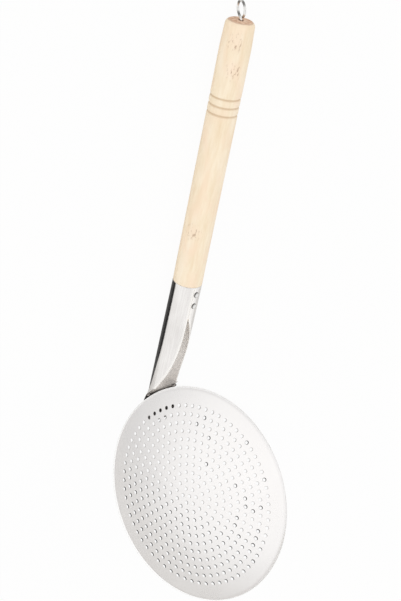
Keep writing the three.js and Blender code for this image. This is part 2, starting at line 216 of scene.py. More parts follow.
def bowl_surface():
    """Each hole has a cell of the sheet: a profile goes from the cell's edge over the lip, through the
    hole and over the burr back under the sheet, and is carried round the hole. Strips join one ring of
    cells to the next, and a profile carried round the dish makes the plain margin and the rim. The marks
    say how dark each point is with painted shade and dirt, and which points of the rim carry a painted
    highlight."""
    rings = np.arange(1, HOLE_RINGS + 1)
    ring = np.repeat(rings, HOLES_ADDED * rings)[:, None]
    first_of_ring = HOLES_ADDED * ring * (ring - 1) // 2
    half_angle = math.pi / (HOLES_ADDED * ring)
    bearing = HOLE_TURN + (2 * (np.arange(len(ring))[:, None] - first_of_ring) + 1) * half_angle
    turn = np.arange(HOLE_SIDES) * 2 * math.pi / HOLE_SIDES
    square = np.stack([np.cos(turn), np.sin(turn)]) / np.maximum(abs(np.cos(turn)), abs(np.sin(turn)))
    half_cell = HOLE_PITCH / 2 - RING_GAP
    edge_bearing = bearing + square[1] * half_angle
    edge = polar(ring * HOLE_PITCH + square[0] * half_cell, edge_bearing)
    edge = np.concatenate([polar(half_cell, turn)[None], edge])
    centre = np.concatenate([np.zeros((1, 1, 2)), polar(ring * HOLE_PITCH, bearing)])
    facing = np.concatenate([turn[None], bearing + turn])

    def circle(extra):
        """A circle about each hole's middle, wider than the hole by extra."""
        return centre + polar(HOLE_RADIUS + extra, facing)

    # The profile's eight points: the cell's edge, two on the lip, three down the wall, one past the burr,
    # and the cell's edge behind. Painted shade darkens the wall; a dirty hole is dark with dirt on wall
    # and lip.
    plane = [edge, circle(3 * PUNCH_EDGE), circle(PUNCH_EDGE), circle(0), circle(0)]
    plane += [circle(-WALL_LEAN), circle(BURR_WIDTH), edge]
    back = -BOWL_SHEET
    lift = np.array([0, 0, 0, -PUNCH_EDGE, -1.5 * PUNCH_EDGE, back - BURR_HEIGHT, back, back])
    wall = np.array([0, 0, 0, 0.5, 1, 1, 0, 0])
    lip = np.array([0, 0, 1, 0.5, 0, 0, 0, 0])
    cells = pressed(np.stack(plane, axis=2), lift[:, None])
    index = np.arange(cells[..., 0].size).reshape(cells.shape[:3])
    faces = [wrapped_quads(index)]

    eighth = HOLE_SIDES // 8
    outward = np.arange(-eighth, eighth)
    inward = HOLE_SIDES // 2 - outward
    edge_bearing = np.concatenate([turn[None], edge_bearing])
    last = np.cumsum(np.concatenate([[1], HOLES_ADDED * rings]))
    for number in rings:
        here = slice(last[number - 1], last[number])
        below = slice(last[number - 2], last[number - 1]) if number > 1 else slice(0, 1)
        side = outward if number > 1 else np.arange(HOLE_SIDES)
        for level in (0, -1):
            band = ring_strip(
                index[below][:, side, level].ravel(), edge_bearing[below][:, side].ravel(),
                index[here][:, inward, level].ravel(), edge_bearing[here][:, inward].ravel(),
            )
            faces.append(band if level == 0 else band[:, ::-1])

    outer = slice(last[-2], last[-1])
    around = edge_bearing[outer][:, outward].ravel()
    start = HOLE_RINGS * HOLE_PITCH + half_cell
    margin = np.linspace(start, cap_radius - RIM_FILLET, MARGIN_STEPS)[1:]
    inside = pressed(polar(margin, 0 * margin), np.zeros((1, 1)))[:, [0, 2]]
    behind_margin = polar(margin[::-1] + RIM_FILLET / 2, 0 * margin)
    behind = pressed(behind_margin, np.full((1, 1), -BOWL_SHEET))[:, [0, 2]]
    # The rim, as radius and height: up its inner face, over the round edge, and down its outer face.
    upright = np.array([
        (cap_radius - 0.25, -1.7), (cap_radius, -1.2), (cap_radius, -0.3), (cap_radius + 0.12, -0.06),
        (RIM_RADIUS - 0.35, 0), (RIM_RADIUS - 0.12, -0.06), (RIM_RADIUS, -0.3), (RIM_RADIUS, -1.6),
        (RIM_RADIUS - 0.12, -2.2), (RIM_RADIUS - 0.45, -2.6),
    ])
    profile = np.concatenate([inside, upright, behind])
    rim = np.concatenate([
        polar(profile[:, 0], around[:, None]),
        np.broadcast_to(profile[:, 1:], (len(around), len(profile), 1)),
    ], axis=-1)
    rim_index = cells[..., 0].size + np.arange(rim[..., 0].size).reshape(rim.shape[:2])
    ends = [index[outer][:, outward, level].reshape(-1, 1) for level in (0, -1)]
    faces.append(wrapped_quads(np.concatenate([ends[0], rim_index, ends[1]], axis=1))[:, ::-1])
    points = np.concatenate([cells.reshape(-1, 3), rim.reshape(-1, 3)])
    hole_shade_and_dirt = np.zeros(len(points))
    # Painted shade on every hole wall, deeper to the left and away from the handle; some random holes on
    # the right are dark with dirt on wall and lip.
    to_left_and_back = centre[..., 1] - centre[..., 0]
    wall_shade = WALL_SHADE_LEAST + (1 - WALL_SHADE_LEAST) * share(to_left_and_back, 0, WALL_SHADE_REACH)
    chance = DIRTY_SHARE * (centre[..., 1] < DIRTY_SIDE)
    dirty = np.random.default_rng(DIRTY_SEED).random(wall_shade.shape) < chance
    shade_and_dirt = wall * np.maximum(wall_shade, dirty)[..., None] + lip * dirty[..., None]
    hole_shade_and_dirt[:index.size] = (shade_and_dirt + np.zeros(index.shape)).ravel()
    # The upright rim gets a painted highlight.
    on_upright = np.zeros(len(profile))
    on_upright[len(inside):len(inside) + len(upright)] = 1
    rim_highlight = np.zeros(len(points))
    rim_highlight[index.size:] = np.broadcast_to(on_upright, rim_index.shape).ravel()
    return points, faces, {"hole_shade_and_dirt": hole_shade_and_dirt, "rim_highlight": rim_highlight}


class Value:
    """A value that a tree of nodes works out. Arithmetic on it adds Math nodes."""

    def __init__(self, nodes, socket):
        self.nodes = nodes
        self.socket = socket

    def __add__(self, other):
        return self.nodes.math("ADD", self, other)

    def __sub__(self, other):
        return self.nodes.math("SUBTRACT", self, other)

    def __mul__(self, other):
        return self.nodes.math("MULTIPLY", self, other)

    def __rsub__(self, other):
        return self.nodes.math("SUBTRACT", other, self)

    __radd__ = __add__
    __rmul__ = __mul__


class Nodes:
    """A tree of shader nodes, for a material or for the world."""

    def __init__(self, tree):
        self.tree = tree

    def fill(self, node, sockets):
        """Sets each socket of a node, or links it to a value that other nodes work out."""
        for name, value in sockets.items():
            if isinstance(value, Value):
                self.tree.links.new(value.socket, node.inputs[name])
            else:
                node.inputs[name].default_value = value

    def node(self, kind, settings, sockets, output=0):
        """A new node with its settings and sockets. The result is one of its outputs."""
        made = self.tree.nodes.new("ShaderNode" + kind)
        for name, value in settings.items():
            setattr(made, name, value)
        self.fill(made, sockets)
        return Value(self, made.outputs[output])

    def math(self, operation, first, second):
        """Two values worked into one by a Math node."""
        return self.node("Math", {"operation": operation}, {0: first, 1: second})

    def ray(self, kind):
        """1 for rays of one kind, such as Camera or Glossy, and 0 for the rest."""
        return self.node("LightPath", {}, {}, f"Is {kind} Ray")

    def mark(self, name):
        """A value that the points of the piece carry."""
        return self.node("Attribute", {"attribute_name": name}, {}, "Fac")

    def place(self, scale, turn=(0, 0, 0)):
        """Object coordinates, stretched and turned."""
        coordinates = self.node("TexCoord", {}, {}, "Object")
        return self.node("Mapping", {}, {"Vector": coordinates, "Rotation": turn, "Scale": scale})

    def noise(self, vector, scale=1, detail=2.0, roughness=0.5):
        """Cloudy noise from 0 to 1."""
        sockets = {"Vector": vector, "Scale": scale, "Detail": detail, "Roughness": roughness}
        return self.node("TexNoise", {}, sockets)

    def between(self, value, start, end):
        """0 at start, 1 at end, a straight rise between them, and level beyond both."""
        return self.node("MapRange", {}, {"Value": value, "From Min": start, "From Max": end})

    def mix(self, factor, first, second):
        """One colour that goes over to another as the factor goes from 0 to 1."""
        sockets = {0: factor, 6: first, 7: second}
        return self.node("Mix", {"data_type": "RGBA"}, sockets, 2)

    def bump(self, height, distance, strength):
        """Normals of a surface that a height from 0 to 1 raises by up to a distance in metres."""
        sockets = {"Height": height, "Distance": distance, "Strength": strength}
        return self.node("Bump", {}, sockets)


class Finish(Nodes):
    """A material and its main surface shader."""

    def __init__(self, name):
        self.material = bpy.data.materials.new(name)
        self.material.use_nodes = True
        super().__init__(self.material.node_tree)
        self.surface = self.tree.nodes["Principled BSDF"]

    def set(self, **sockets):
        """Fills sockets of the surface. An underscore stands for a space in a socket's name."""
        self.fill(self.surface, {name.replace("_", " "): value for name, value in sockets.items()})


def bowl_finish():
    """Satin stainless steel: soft cloudy polish, fine scratches, painted shade on the walls of the holes,
    and a painted highlight on the rim. The painted shade on the walls is deeper on the left and away
    from the handle, and some holes on the right are dark with dirt."""
    finish = Finish("satin_steel")
    cloud = finish.noise(finish.place((1, 1, 1)), scale=28, detail=4)
    scratch = finish.noise(finish.place((90, 900, 90), turn=(0.4, 0.7, 0.2)), detail=3)
    # Painted shade and dirt darken the holes.
    hole_shade_and_dirt = finish.mark("hole_shade_and_dirt")
    dull = (cloud - 0.5) * 0.16 + (scratch - 0.5) * 0.12 + hole_shade_and_dirt * 0.25 + SATIN_ROUGHNESS
    tone = finish.mix(cloud, SATIN_DARK, SATIN_LIGHT)
    tone = finish.mix(hole_shade_and_dirt, tone, HOLE_SHADE_AND_DIRT)
    # Painted highlight: the rim is nearly white and half metallic.
    rim_highlight = finish.mark("rim_highlight")
    tone = finish.mix(rim_highlight, tone, RIM_HIGHLIGHT)
    finish.set(Base_Color=tone, Roughness=dull, Metallic=1 - rim_highlight * 0.5,
               Normal=finish.bump(scratch, distance=0.00004, strength=0.5))
    return finish.material


add_piece("punched_bowl", bowl_surface(), "bowl", bowl_finish())


# Socket: one steel blank, rolled and bent. Its flat tongue lies behind the bowl, the bend turns it up,
# its wings make an open trough, and above that they meet in a tube with a seam down the front.
SOCKET_SHEET = 0.8
SOCKET_ANGLE = math.radians(48.6)
TONGUE_OVERLAP = 24.2
TONGUE_LENGTH = 26.7
TONGUE_SLOPE = math.radians(5.2)
TONGUE_WIDTH = 43
TONGUE_OFFSET = 3.5
TONGUE_CORNER = 3.5
FLARE_START = 18
FLARE_END = 30
FLARE_LEFT = 24.5
FLARE_RIGHT = 26
CURL_START = 14
BEND_RADIUS = 20
TROUGH_LENGTH = 89
TUBE_LENGTH = 36
TUBE_RADIUS = 14.3
SEAM_GAP = 0.15
SEAM_OFFSET = 3.4
EARLY_SPREAD = 2.6
LATE_SPREAD = 1.7
FIT_GAP = 0.3
# Painted shadow on the inner face, just past the rim and under the bowl.
RIM_SHADOW_AT = 1.0
RIM_SHADOW_WIDTH = 1.8
# Width of the painted highlight along the outer edges.
EDGE_HIGHLIGHT_WIDTH = 2.4
# How far up the trough the painted shade reaches.
TROUGH_SHADE_REACH = 34
CORNER_STEPS = 12
BEND_STEPS = 40
TROUGH_STEPS = 60
TUBE_STEPS = 14
FACE_STEPS = 60
EDGE_STEPS = 7
STEEL_DARK = (0.76, 0.735, 0.715, 1)
STEEL_LIGHT = (0.90, 0.88, 0.86, 1)
STEEL_ROUGHNESS = 0.14
# Painted light: the inner face is nearly white, as if brightly lit in the trough.
INSIDE_PAINTED_LIGHT = (0.995, 0.975, 0.955, 1)
# Painted shade low in the trough.
TROUGH_SHADE_BROWN = (0.66, 0.585, 0.52, 1)
# Painted highlight along the outer edges.
EDGE_HIGHLIGHT_TONE = (0.995, 0.97, 0.935, 1)
# Painted shadow at the rim and under the bowl.
SHADOW_BLACK = (0.03, 0.024, 0.02, 1)

back_radius = sphere_radius + BOWL_SHEET + FIT_GAP
tip_reach = RIM_RADIUS - TONGUE_OVERLAP
tip_height = sphere_height - math.sqrt(back_radius ** 2 - tip_reach ** 2)
bend_end = TONGUE_LENGTH + BEND_RADIUS * (SOCKET_ANGLE - TONGUE_SLOPE)
apex_along = bend_end + TROUGH_LENGTH
mouth_along = apex_along + TUBE_LENGTH


def eased(value, low, high):
    """0 below low, 1 above high, with a smooth start and end."""
    part = share(value, low, high)
    return part * part * (3 - 2 * part)


def socket_point(along, across, lift):
    """The bottom line runs along the bowl, bends up and goes straight. The section across it is an arc
    that tightens from the back of the bowl to the tube, and lift stands off it towards the inside."""
    on_tongue = np.minimum(along, TONGUE_LENGTH)
    on_bend = np.clip(along, TONGUE_LENGTH, bend_end) - TONGUE_LENGTH
    on_straight = np.maximum(along - bend_end, 0)
    slope = TONGUE_SLOPE + on_bend / BEND_RADIUS
    line_x = (tip_reach + on_tongue * math.cos(TONGUE_SLOPE)
              + BEND_RADIUS * (np.sin(slope) - math.sin(TONGUE_SLOPE)) + on_straight * np.cos(slope))
    line_z = (tip_height + on_tongue * math.sin(TONGUE_SLOPE)
              + BEND_RADIUS * (math.cos(TONGUE_SLOPE) - np.cos(slope)) + on_straight * np.sin(slope))
    curl = eased(along, CURL_START, bend_end)
    radius = 1 / ((1 - curl) / back_radius + curl / TUBE_RADIUS)
    angle = across / radius
    rise = radius - (radius - lift) * np.cos(angle)
    return np.stack([
        line_x - rise * np.sin(slope), (radius - lift) * np.sin(angle), line_z + rise * np.cos(slope),
    ], axis=-1)


def blank_edge(along, side):
    """The left (+1) or right (-1) edge of the flat blank: a round corner on the tongue, a flare past the
    rim, then a spread up the trough until the edges meet, early on the left and late on the right."""
    corner = np.maximum(TONGUE_CORNER - along, 0)
    cut = TONGUE_CORNER - np.sqrt(TONGUE_CORNER ** 2 - corner ** 2)
    tongue = side * TONGUE_WIDTH / 2 + TONGUE_OFFSET
    flare = FLARE_LEFT if side > 0 else -FLARE_RIGHT
    tube = side * (math.pi * TUBE_RADIUS - SEAM_GAP / 2) - SEAM_OFFSET
    closed = share(along, bend_end, apex_along)
    spread = 1 - (1 - closed) ** EARLY_SPREAD if side > 0 else closed ** LATE_SPREAD
    flared = tongue + (flare - tongue) * share(along, FLARE_START, FLARE_END)
    return flared + (tube - flared) * spread - side * cut


def socket_surface():
    """The section of the sheet, with round edges, is carried along the blank and pinched shut at both
    ends of it. The marks are the inner face, painted shade low on it, a painted highlight along the
    edges of the outer face, and painted shadow where the inner face passes the rim and lies under the
    bowl."""
    half_sheet = SOCKET_SHEET / 2
    end_round = np.array([0, 0, 0.12, 0.4])
    pinch_round = np.array([0, 0.6, 0.9, 1])
    middle = np.concatenate([
        np.linspace(end_round[-1], TONGUE_CORNER, CORNER_STEPS)[1:],
        np.linspace(TONGUE_CORNER, bend_end, BEND_STEPS)[1:],
        np.linspace(bend_end, apex_along, TROUGH_STEPS)[1:],
        np.linspace(apex_along, mouth_along - end_round[-1], TUBE_STEPS)[1:-1],
    ])
    along = np.concatenate([end_round, middle, mouth_along - end_round[::-1]])[:, None]
    pinch = np.concatenate([pinch_round, np.ones(len(middle)), pinch_round[::-1]])[:, None]
    face = np.linspace(0, 1, FACE_STEPS)
    bend = np.linspace(0, math.pi, EDGE_STEPS)[1:-1]
    from_right = np.concatenate([face, 1 + 0 * bend, face[::-1], 0 * bend])
    edge = np.concatenate([0 * face, np.sin(bend), 0 * face, -np.sin(bend)])
    lift = half_sheet * np.concatenate([1 + 0 * face, np.cos(bend), -1 + 0 * face, -np.cos(bend)])
    left = blank_edge(along, 1) - half_sheet
    right = blank_edge(along, -1) + half_sheet
    across = right + (left - right) * from_right + edge * half_sheet
    points = socket_point(along + 0 * across, across, lift * pinch - half_sheet)
    index = np.arange(points[..., 0].size).reshape(points.shape[:2])
    # Painted shadow along the rim and under the bowl, on the inner face.
    off_rim = np.hypot(points[..., 0], points[..., 1]) - RIM_RADIUS - RIM_SHADOW_AT
    from_edge = np.minimum(left - across, across - right)
    inner = lift > 0.9 * half_sheet
    marks = {
        "inside": np.broadcast_to(inner, index.shape),
        # Painted shade low in the trough.
        "trough_shade": share(along, bend_end + TROUGH_SHADE_REACH, bend_end) * inner,
        # Painted highlight along the outer edges.
        "edge_highlight": (1 - share(from_edge, 0, EDGE_HIGHLIGHT_WIDTH)) * ~inner,
        # Painted shadow at the rim.
        "rim_shadow": np.maximum(np.exp(-(off_rim / RIM_SHADOW_WIDTH) ** 2), off_rim < 0) * (lift > 0),
    }
    return points.reshape(-1, 3), [wrapped_quads(index.T)[:, ::-1]], marks


def socket_finish():
    """Polished stainless steel, with faint lines drawn along the roll, a painted highlight along the
    edges, a dull inside painted pale for the light in the trough, painted brown shade low in the trough,
    and painted black shadow on the tongue and along the rim."""
    finish = Finish("polished_steel")
    cloud = finish.noise(finish.place((1, 1, 1)), scale=35, detail=3)
    drawn = finish.noise(finish.place((40, 700, 700)), detail=3)
    inside = finish.mark("inside")
    highlight = finish.mark("edge_highlight")
    rim_shadow = finish.mark("rim_shadow")
    dull = (cloud - 0.5) * 0.1 + (drawn - 0.5) * 0.1 + inside * 0.3 + rim_shadow * 0.2 + STEEL_ROUGHNESS
    streak = finish.between(drawn + cloud, 0.7, 1.3)
    tone = finish.mix(streak, STEEL_DARK, STEEL_LIGHT)
    # Painted light: the inner face is pale, as if brightly lit.
    tone = finish.mix(inside, tone, INSIDE_PAINTED_LIGHT)
    # Painted brown shade low in the trough.
    tone = finish.mix(finish.mark("trough_shade") * 0.4, tone, TROUGH_SHADE_BROWN)
    # Painted highlight along the edges.
    tone = finish.mix(highlight, tone, EDGE_HIGHLIGHT_TONE)
    # Painted black shadow along the rim and under the bowl.
    tone = finish.mix(rim_shadow * 0.95, tone, SHADOW_BLACK)
    finish.set(Base_Color=tone, Roughness=dull, Metallic=1 - inside * 0.7 - highlight * 0.45,
               Normal=finish.bump(drawn, distance=0.00004, strength=0.3))
    return finish.material


add_piece("rolled_socket", socket_surface(), "handle_socket", socket_finish())


# Welds: a tack in the crevice beside the rim at each wing of the trough, and a bead across the tip of
# the tongue under the bowl. They are lumps of melted steel, darkened by the heat.
TACK_RADIUS = 1.5
TACK_LENGTH = 6
TACK_PLACES = (("left", 22, 5), ("right", -21, 6))
SEAT_STEPS = 20001
BEAD_RADIUS = 1.4
BEAD_LENGTH = 24
BEAD_RIPPLES = 26
LUMP_FIT = 0.94
RIPPLE_HEIGHT = 0.06
LUMP_UNEVEN = 0.05
WELD_BLACK = (0.04, 0.033, 0.03, 1)
WELD_GREY = (0.45, 0.42, 0.40, 1)


def lump_surface(seat, lengthwise, radius, length, ripples, sides=32):
    """A long ball whose girth swells and sinks in ripples along it and in three waves round it."""
    way = lengthwise / np.linalg.norm(lengthwise)
    out = np.cross(way, (0, 0, 1))
    out = out / np.linalg.norm(out)
    up = np.cross(out, way)
    down = np.linspace(0, math.pi, sides)
    turn = np.arange(sides)[:, None] * 2 * math.pi / sides
    rippled = RIPPLE_HEIGHT * np.sin(ripples * down) * np.sin(down)
    uneven = LUMP_UNEVEN * np.sin(3 * turn + 2 * down) * np.sin(down)
    girth = radius * np.sin(down) * (1 + rippled + uneven) * LUMP_FIT
    points = (seat + np.cos(down)[:, None] * way * length / 2
              + (girth * np.cos(turn))[..., None] * out + (girth * np.sin(turn))[..., None] * up)
    index = np.arange(points[..., 0].size).reshape(points.shape[:2])
    return points.reshape(-1, 3), [wrapped_quads(index)[:, ::-1]], {}


def tack_seat(across):
    """Where the crevice is just wide enough for the tack, and which way the tack lies."""
    lift = TACK_RADIUS + 2 * FIT_GAP
    along = np.linspace(0, apex_along, SEAT_STEPS)
    points = socket_point(along, across, lift)
    first = np.argmax(np.hypot(points[:, 0], points[:, 1]) >= RIM_RADIUS + TACK_RADIUS + FIT_GAP)
    ahead = socket_point(along[first], across + TACK_RADIUS, lift)
    return points[first], ahead - points[first]


def weld_finish():
    """Melted steel: dull and blotched, from grey to black from the heat."""
    finish = Finish("weld_metal")
    blotch = finish.noise(finish.place((1, 1, 1)), scale=420, detail=4)
    tone = finish.mix(finish.between(blotch, 0.35, 0.65), WELD_BLACK, WELD_GREY)
    finish.set(Base_Color=tone, Roughness=blotch * 0.3 + 0.25, Metallic=0.9,
               Normal=finish.bump(blotch, distance=0.0003, strength=0.6))
    return finish.material


weld_metal = weld_finish()
for side, across, ripples in TACK_PLACES:
    tack = lump_surface(*tack_seat(across), TACK_RADIUS, TACK_LENGTH, ripples)
    add_piece(f"{side}_tack", tack, f"{side}_weld_tack", weld_metal)
bead_reach = tip_reach - FIT_GAP - BEAD_RADIUS
bead_height = sphere_height - math.sqrt((back_radius + BEAD_RADIUS) ** 2 - bead_reach ** 2)
bead_seat = np.array((bead_reach, TONGUE_OFFSET, bead_height))
bead = lump_surface(bead_seat, np.array((0, 1, 0)), BEAD_RADIUS, BEAD_LENGTH, BEAD_RIPPLES, sides=64)
add_piece("tongue_bead", bead, "tongue_weld", weld_metal)


# Handle: one dowel of pale hardwood, turned and sanded, with three grooves cut near its end. A tenon
# fits inside the tube, and the dowel leans a little back from the line of the tube.
HANDLE_RADIUS = 15
HANDLE_LENGTH = 272
HANDLE_LEAN = math.radians(-1.3)
HANDLE_TAPER = 0.8
HANDLE_TAPER_LENGTH = 25
END_RADIUS = 5
TENON_RADIUS = 14
TENON_LENGTH = 40
GROOVE_FROM_END = 73.5
GROOVE_SPACING = 8.2
GROOVE_COUNT = 3
GROOVE_DEPTH = 1.0
GROOVE_HALF_WIDTH = 1.0
GROOVE_SQUARENESS = 2.4
EYE_WIRE_RADIUS = 1.15
DIMPLE_START = 2.6
DIMPLE_REACHES = (2.0, 1.6, 1.3, 0)
DIMPLE_DEPTHS = (0.3, 1.1, 1.8, 2.0)
# How dark the painted shadow is at each point down the dimple.
DIMPLE_SHADOW_SHARE = (0.6, 1, 1, 1)
TURNING_UNEVEN = 0.004
UNEVEN_FROM_FOOT = 40
FOOT_LENGTH = 30
HANDLE_SIDES = 96
BODY_STEPS = 480
EDGE_TURNS = 10
FLAT_STEPS = 12
END_GRAIN_TURN = (0.5, 1.5)
WORN_SPOTS = ((254, 38), (227, 54), (60, 22))
WORN_REACH = 0.011
GRAIN_DARK = (0.86, 0.695, 0.485, 1)
GRAIN_LIGHT = (0.965, 0.84, 0.65, 1)
WOOD_CREAM = (0.965, 0.845, 0.68, 1)
WOOD_BLUSH = (0.94, 0.74, 0.555, 1)
WORN_PINK = (0.95, 0.755, 0.585, 1)
FLECK_BROWN = (0.46, 0.31, 0.20, 1)
# Painted shade in the grooves.
GROOVE_SHADE = (0.62, 0.45, 0.29, 1)
END_DARK = (0.60, 0.34, 0.21, 1)
END_LIGHT = (0.93, 0.68, 0.50, 1)
END_EDGE = (0.50, 0.33, 0.24, 1)
# Painted shadow in the dimple round the screw.
DIMPLE_SHADOW = (0.10, 0.05, 0.03, 1)
WOOD_ROUGHNESS = 0.5

mouth_middle = socket_point(np.array(mouth_along), np.array(0.0), np.array(TUBE_RADIUS))


def spun(points, axis, angle):
    """Points turned about X (0), Y (1) or Z (2)."""
    points = np.asarray(points, dtype=float)
    ahead, behind = points[..., (axis + 1) % 3], points[..., (axis + 2) % 3]
    out = points.copy()
    out[..., (axis + 1) % 3] = ahead * math.cos(angle) - behind * math.sin(angle)
    out[..., (axis + 2) % 3] = ahead * math.sin(angle) + behind * math.cos(angle)
    return out


def from_tube(points):
    """Points with X out along the tube from the middle of its mouth, and Z to the hollow side."""
    return mouth_middle + spun(points, 1, -SOCKET_ANGLE)


def from_dowel(points):
    """The same, with X along the leaning dowel."""
    return from_tube(spun(points, 1, -HANDLE_LEAN))


def dowel_profile():
    """Distance along and radius: the turned side with its grooves, the round edge, the flat end, and
    the torn dimple round the screw. The marks say which points are in a groove, on the end grain and in
    the dimple, which carries a painted shadow."""
    body = np.linspace(FIT_GAP, HANDLE_LENGTH - END_RADIUS, BODY_STEPS)
    grooves = HANDLE_LENGTH - GROOVE_FROM_END - GROOVE_SPACING * np.arange(GROOVE_COUNT)[:, None]
    cut = np.exp(-np.abs((body - grooves) / GROOVE_HALF_WIDTH) ** GROOVE_SQUARENESS).sum(axis=0)
    taper = HANDLE_TAPER * share(body, HANDLE_LENGTH - HANDLE_TAPER_LENGTH, HANDLE_LENGTH - END_RADIUS)
    turn = np.linspace(0, math.pi / 2, EDGE_TURNS)[1:]
    edge_along = HANDLE_LENGTH - END_RADIUS * (1 - np.sin(turn))
    edge_radius = HANDLE_RADIUS - HANDLE_TAPER - END_RADIUS * (1 - np.cos(turn))
    flat = np.linspace(edge_radius[-1], DIMPLE_START * EYE_WIRE_RADIUS, FLAT_STEPS)[1:]
    dimple_radius = EYE_WIRE_RADIUS * np.array(DIMPLE_REACHES)
    dimple_along = HANDLE_LENGTH - np.array(DIMPLE_DEPTHS)
    along = np.concatenate([body, edge_along, 0 * flat + HANDLE_LENGTH, dimple_along])
    side_radius = HANDLE_RADIUS - taper - GROOVE_DEPTH * cut
    radius = np.concatenate([side_radius, edge_radius, flat, dimple_radius])
    groove = np.concatenate([cut, 0 * edge_along, 0 * flat, 0 * dimple_along])
    end = np.concatenate([0 * body, eased(turn, *END_GRAIN_TURN), 1 + 0 * flat, 1 + 0 * dimple_along])
    dimple = np.concatenate([0 * body, 0 * edge_along, 0 * flat, DIMPLE_SHADOW_SHARE])
    return along, radius, {"groove": groove, "end_grain": end, "dimple": dimple}


def handle_surface():
    """The profile turned about the dowel's line, a little uneven in three waves round it and cut square
    to the mouth at its foot, and the tenon turned about the tube's line below it."""
    along, radius, marks = dowel_profile()
    turn = np.arange(HANDLE_SIDES)[:, None] * 2 * math.pi / HANDLE_SIDES
    waves = (1 + np.sin(3 * turn + 0.02 * along)) * np.minimum(along / UNEVEN_FROM_FOOT, 1)
    uneven = 1 - TURNING_UNEVEN * waves
    y = radius * uneven * np.cos(turn)
    z = radius * uneven * np.sin(turn)
    foot = z * math.tan(HANDLE_LEAN) * np.clip(1 - along / FOOT_LENGTH, 0, 1)
    dowel = from_dowel(np.stack([along + foot, y, z], axis=-1))
    tenon_along = np.array([-TENON_LENGTH, -TENON_LENGTH, 1 - TENON_LENGTH, FIT_GAP])
    tenon_radius = np.array([0, TENON_RADIUS - 1, TENON_RADIUS, TENON_RADIUS])
    tenon = from_tube(np.stack([
        tenon_along + 0 * turn, tenon_radius * np.cos(turn), tenon_radius * np.sin(turn),
    ], axis=-1))
    points = np.concatenate([tenon, dowel], axis=1)
    index = np.arange(points[..., 0].size).reshape(points.shape[:2])
    whole = {name: np.concatenate([0 * tenon_along, mark]) for name, mark in marks.items()}
    marks = {name: np.broadcast_to(mark, index.shape) for name, mark in whole.items()}
    return points.reshape(-1, 3), [wrapped_quads(index)], marks


def wood_finish():
    """Sanded pale hardwood: fine grain, soft pink and cream blotches, worn spots with brown flecks,
    painted shade in the grooves, and a pink-brown end with a darker edge and painted shadow in the dimple
    round the screw."""
    finish = Finish("pale_wood")
    grain = finish.noise(finish.place((32, 250, 250)), detail=5, roughness=0.65)
    cream = finish.noise(finish.place((28, 90, 90)), detail=3)
    blush = finish.noise(finish.place((34, 70, 70), turn=(0, 0, 0.6)), detail=3)
    tone = finish.mix(finish.between(grain, 0.3, 0.7), GRAIN_DARK, GRAIN_LIGHT)
    tone = finish.mix(finish.between(cream, 0.45, 0.7) * 0.7, tone, WOOD_CREAM)
    tone = finish.mix(finish.between(blush, 0.48, 0.66) * 0.65, tone, WOOD_BLUSH)

    worn = 0.0
    for spot_along, spot_turn in WORN_SPOTS:
        facing = math.radians(spot_turn)
        on_side = (HANDLE_RADIUS * math.cos(facing), HANDLE_RADIUS * math.sin(facing))
        spot = laid(from_dowel((spot_along, *on_side)))
        away = finish.node("VectorMath", {"operation": "DISTANCE"}, {
            0: finish.place((1, 1, 1)), 1: tuple(spot),
        }, "Value")
        worn = worn + finish.between(away, WORN_REACH, WORN_REACH / 4)
    speckle = finish.noise(finish.place((230, 520, 520), turn=(0, 0, 0.3)), detail=2)
    fleck = finish.between(speckle, 0.55, 0.68)
    tone = finish.mix(worn * 0.45, tone, WORN_PINK)
    tone = finish.mix(worn * fleck * 0.8, tone, FLECK_BROWN)
    # Painted shade in the grooves.
    tone = finish.mix(finish.mark("groove") * 0.7, tone, GROOVE_SHADE)

    rings = finish.noise(finish.place((1, 260, 260)), detail=3)
    end_tone = finish.mix(finish.between(rings, 0.35, 0.65), END_DARK, END_LIGHT)
    end_grain = finish.between(finish.mark("end_grain") + (rings - 0.5) * 0.6, 0.3, 0.9)
    tone = finish.mix(end_grain, tone, end_tone)
    tone = finish.mix(end_grain * (1 - end_grain) * 2, tone, END_EDGE)
    # Painted shadow in the dimple.
    tone = finish.mix(finish.mark("dimple"), tone, DIMPLE_SHADOW)
    finish.set(Base_Color=tone, Roughness=grain * 0.15 + WOOD_ROUGHNESS,
               Normal=finish.bump(grain, distance=0.0002, strength=0.25))
    return finish.material


add_piece("turned_handle", handle_surface(), "wooden_handle", wood_finish())


# Nails: two round-headed steel nails, one above the other, driven through the tube into the tenon. Their
# heads stand on the tube, bright on top, with painted shade and dark reflection at the edge.
NAIL_HEAD_RADIUS = 3
NAIL_HEAD_HEIGHT = 1.3
NAIL_HEAD_EDGE = 0.25
NAIL_HEAD_UNDER = 0.45
NAIL_HEAD_TUCK = 0.94
NAIL_SHANK_RADIUS = 1.1
NAIL_LENGTH = 13
NAIL_POINT = 1.5
NAIL_FROM_MOUTH = 8.6
NAIL_SPACING = 13
NAIL_SIDES = 32
DOME_STEPS = 9
# Where the painted shade and dark reflection begin on the dome, in radians.
NAIL_DARK_EDGE = (0.7, 1.3)
WIRE_DARK = (0.78, 0.77, 0.75, 1)
WIRE_LIGHT = (0.90, 0.89, 0.87, 1)
# Painted shade and dark reflection on the nail heads and the eye wire.
SHADE_AND_REFLECTION_BLACK = (0.10, 0.095, 0.09, 1)
nail_seat = TUBE_RADIUS + SOCKET_SHEET + FIT_GAP


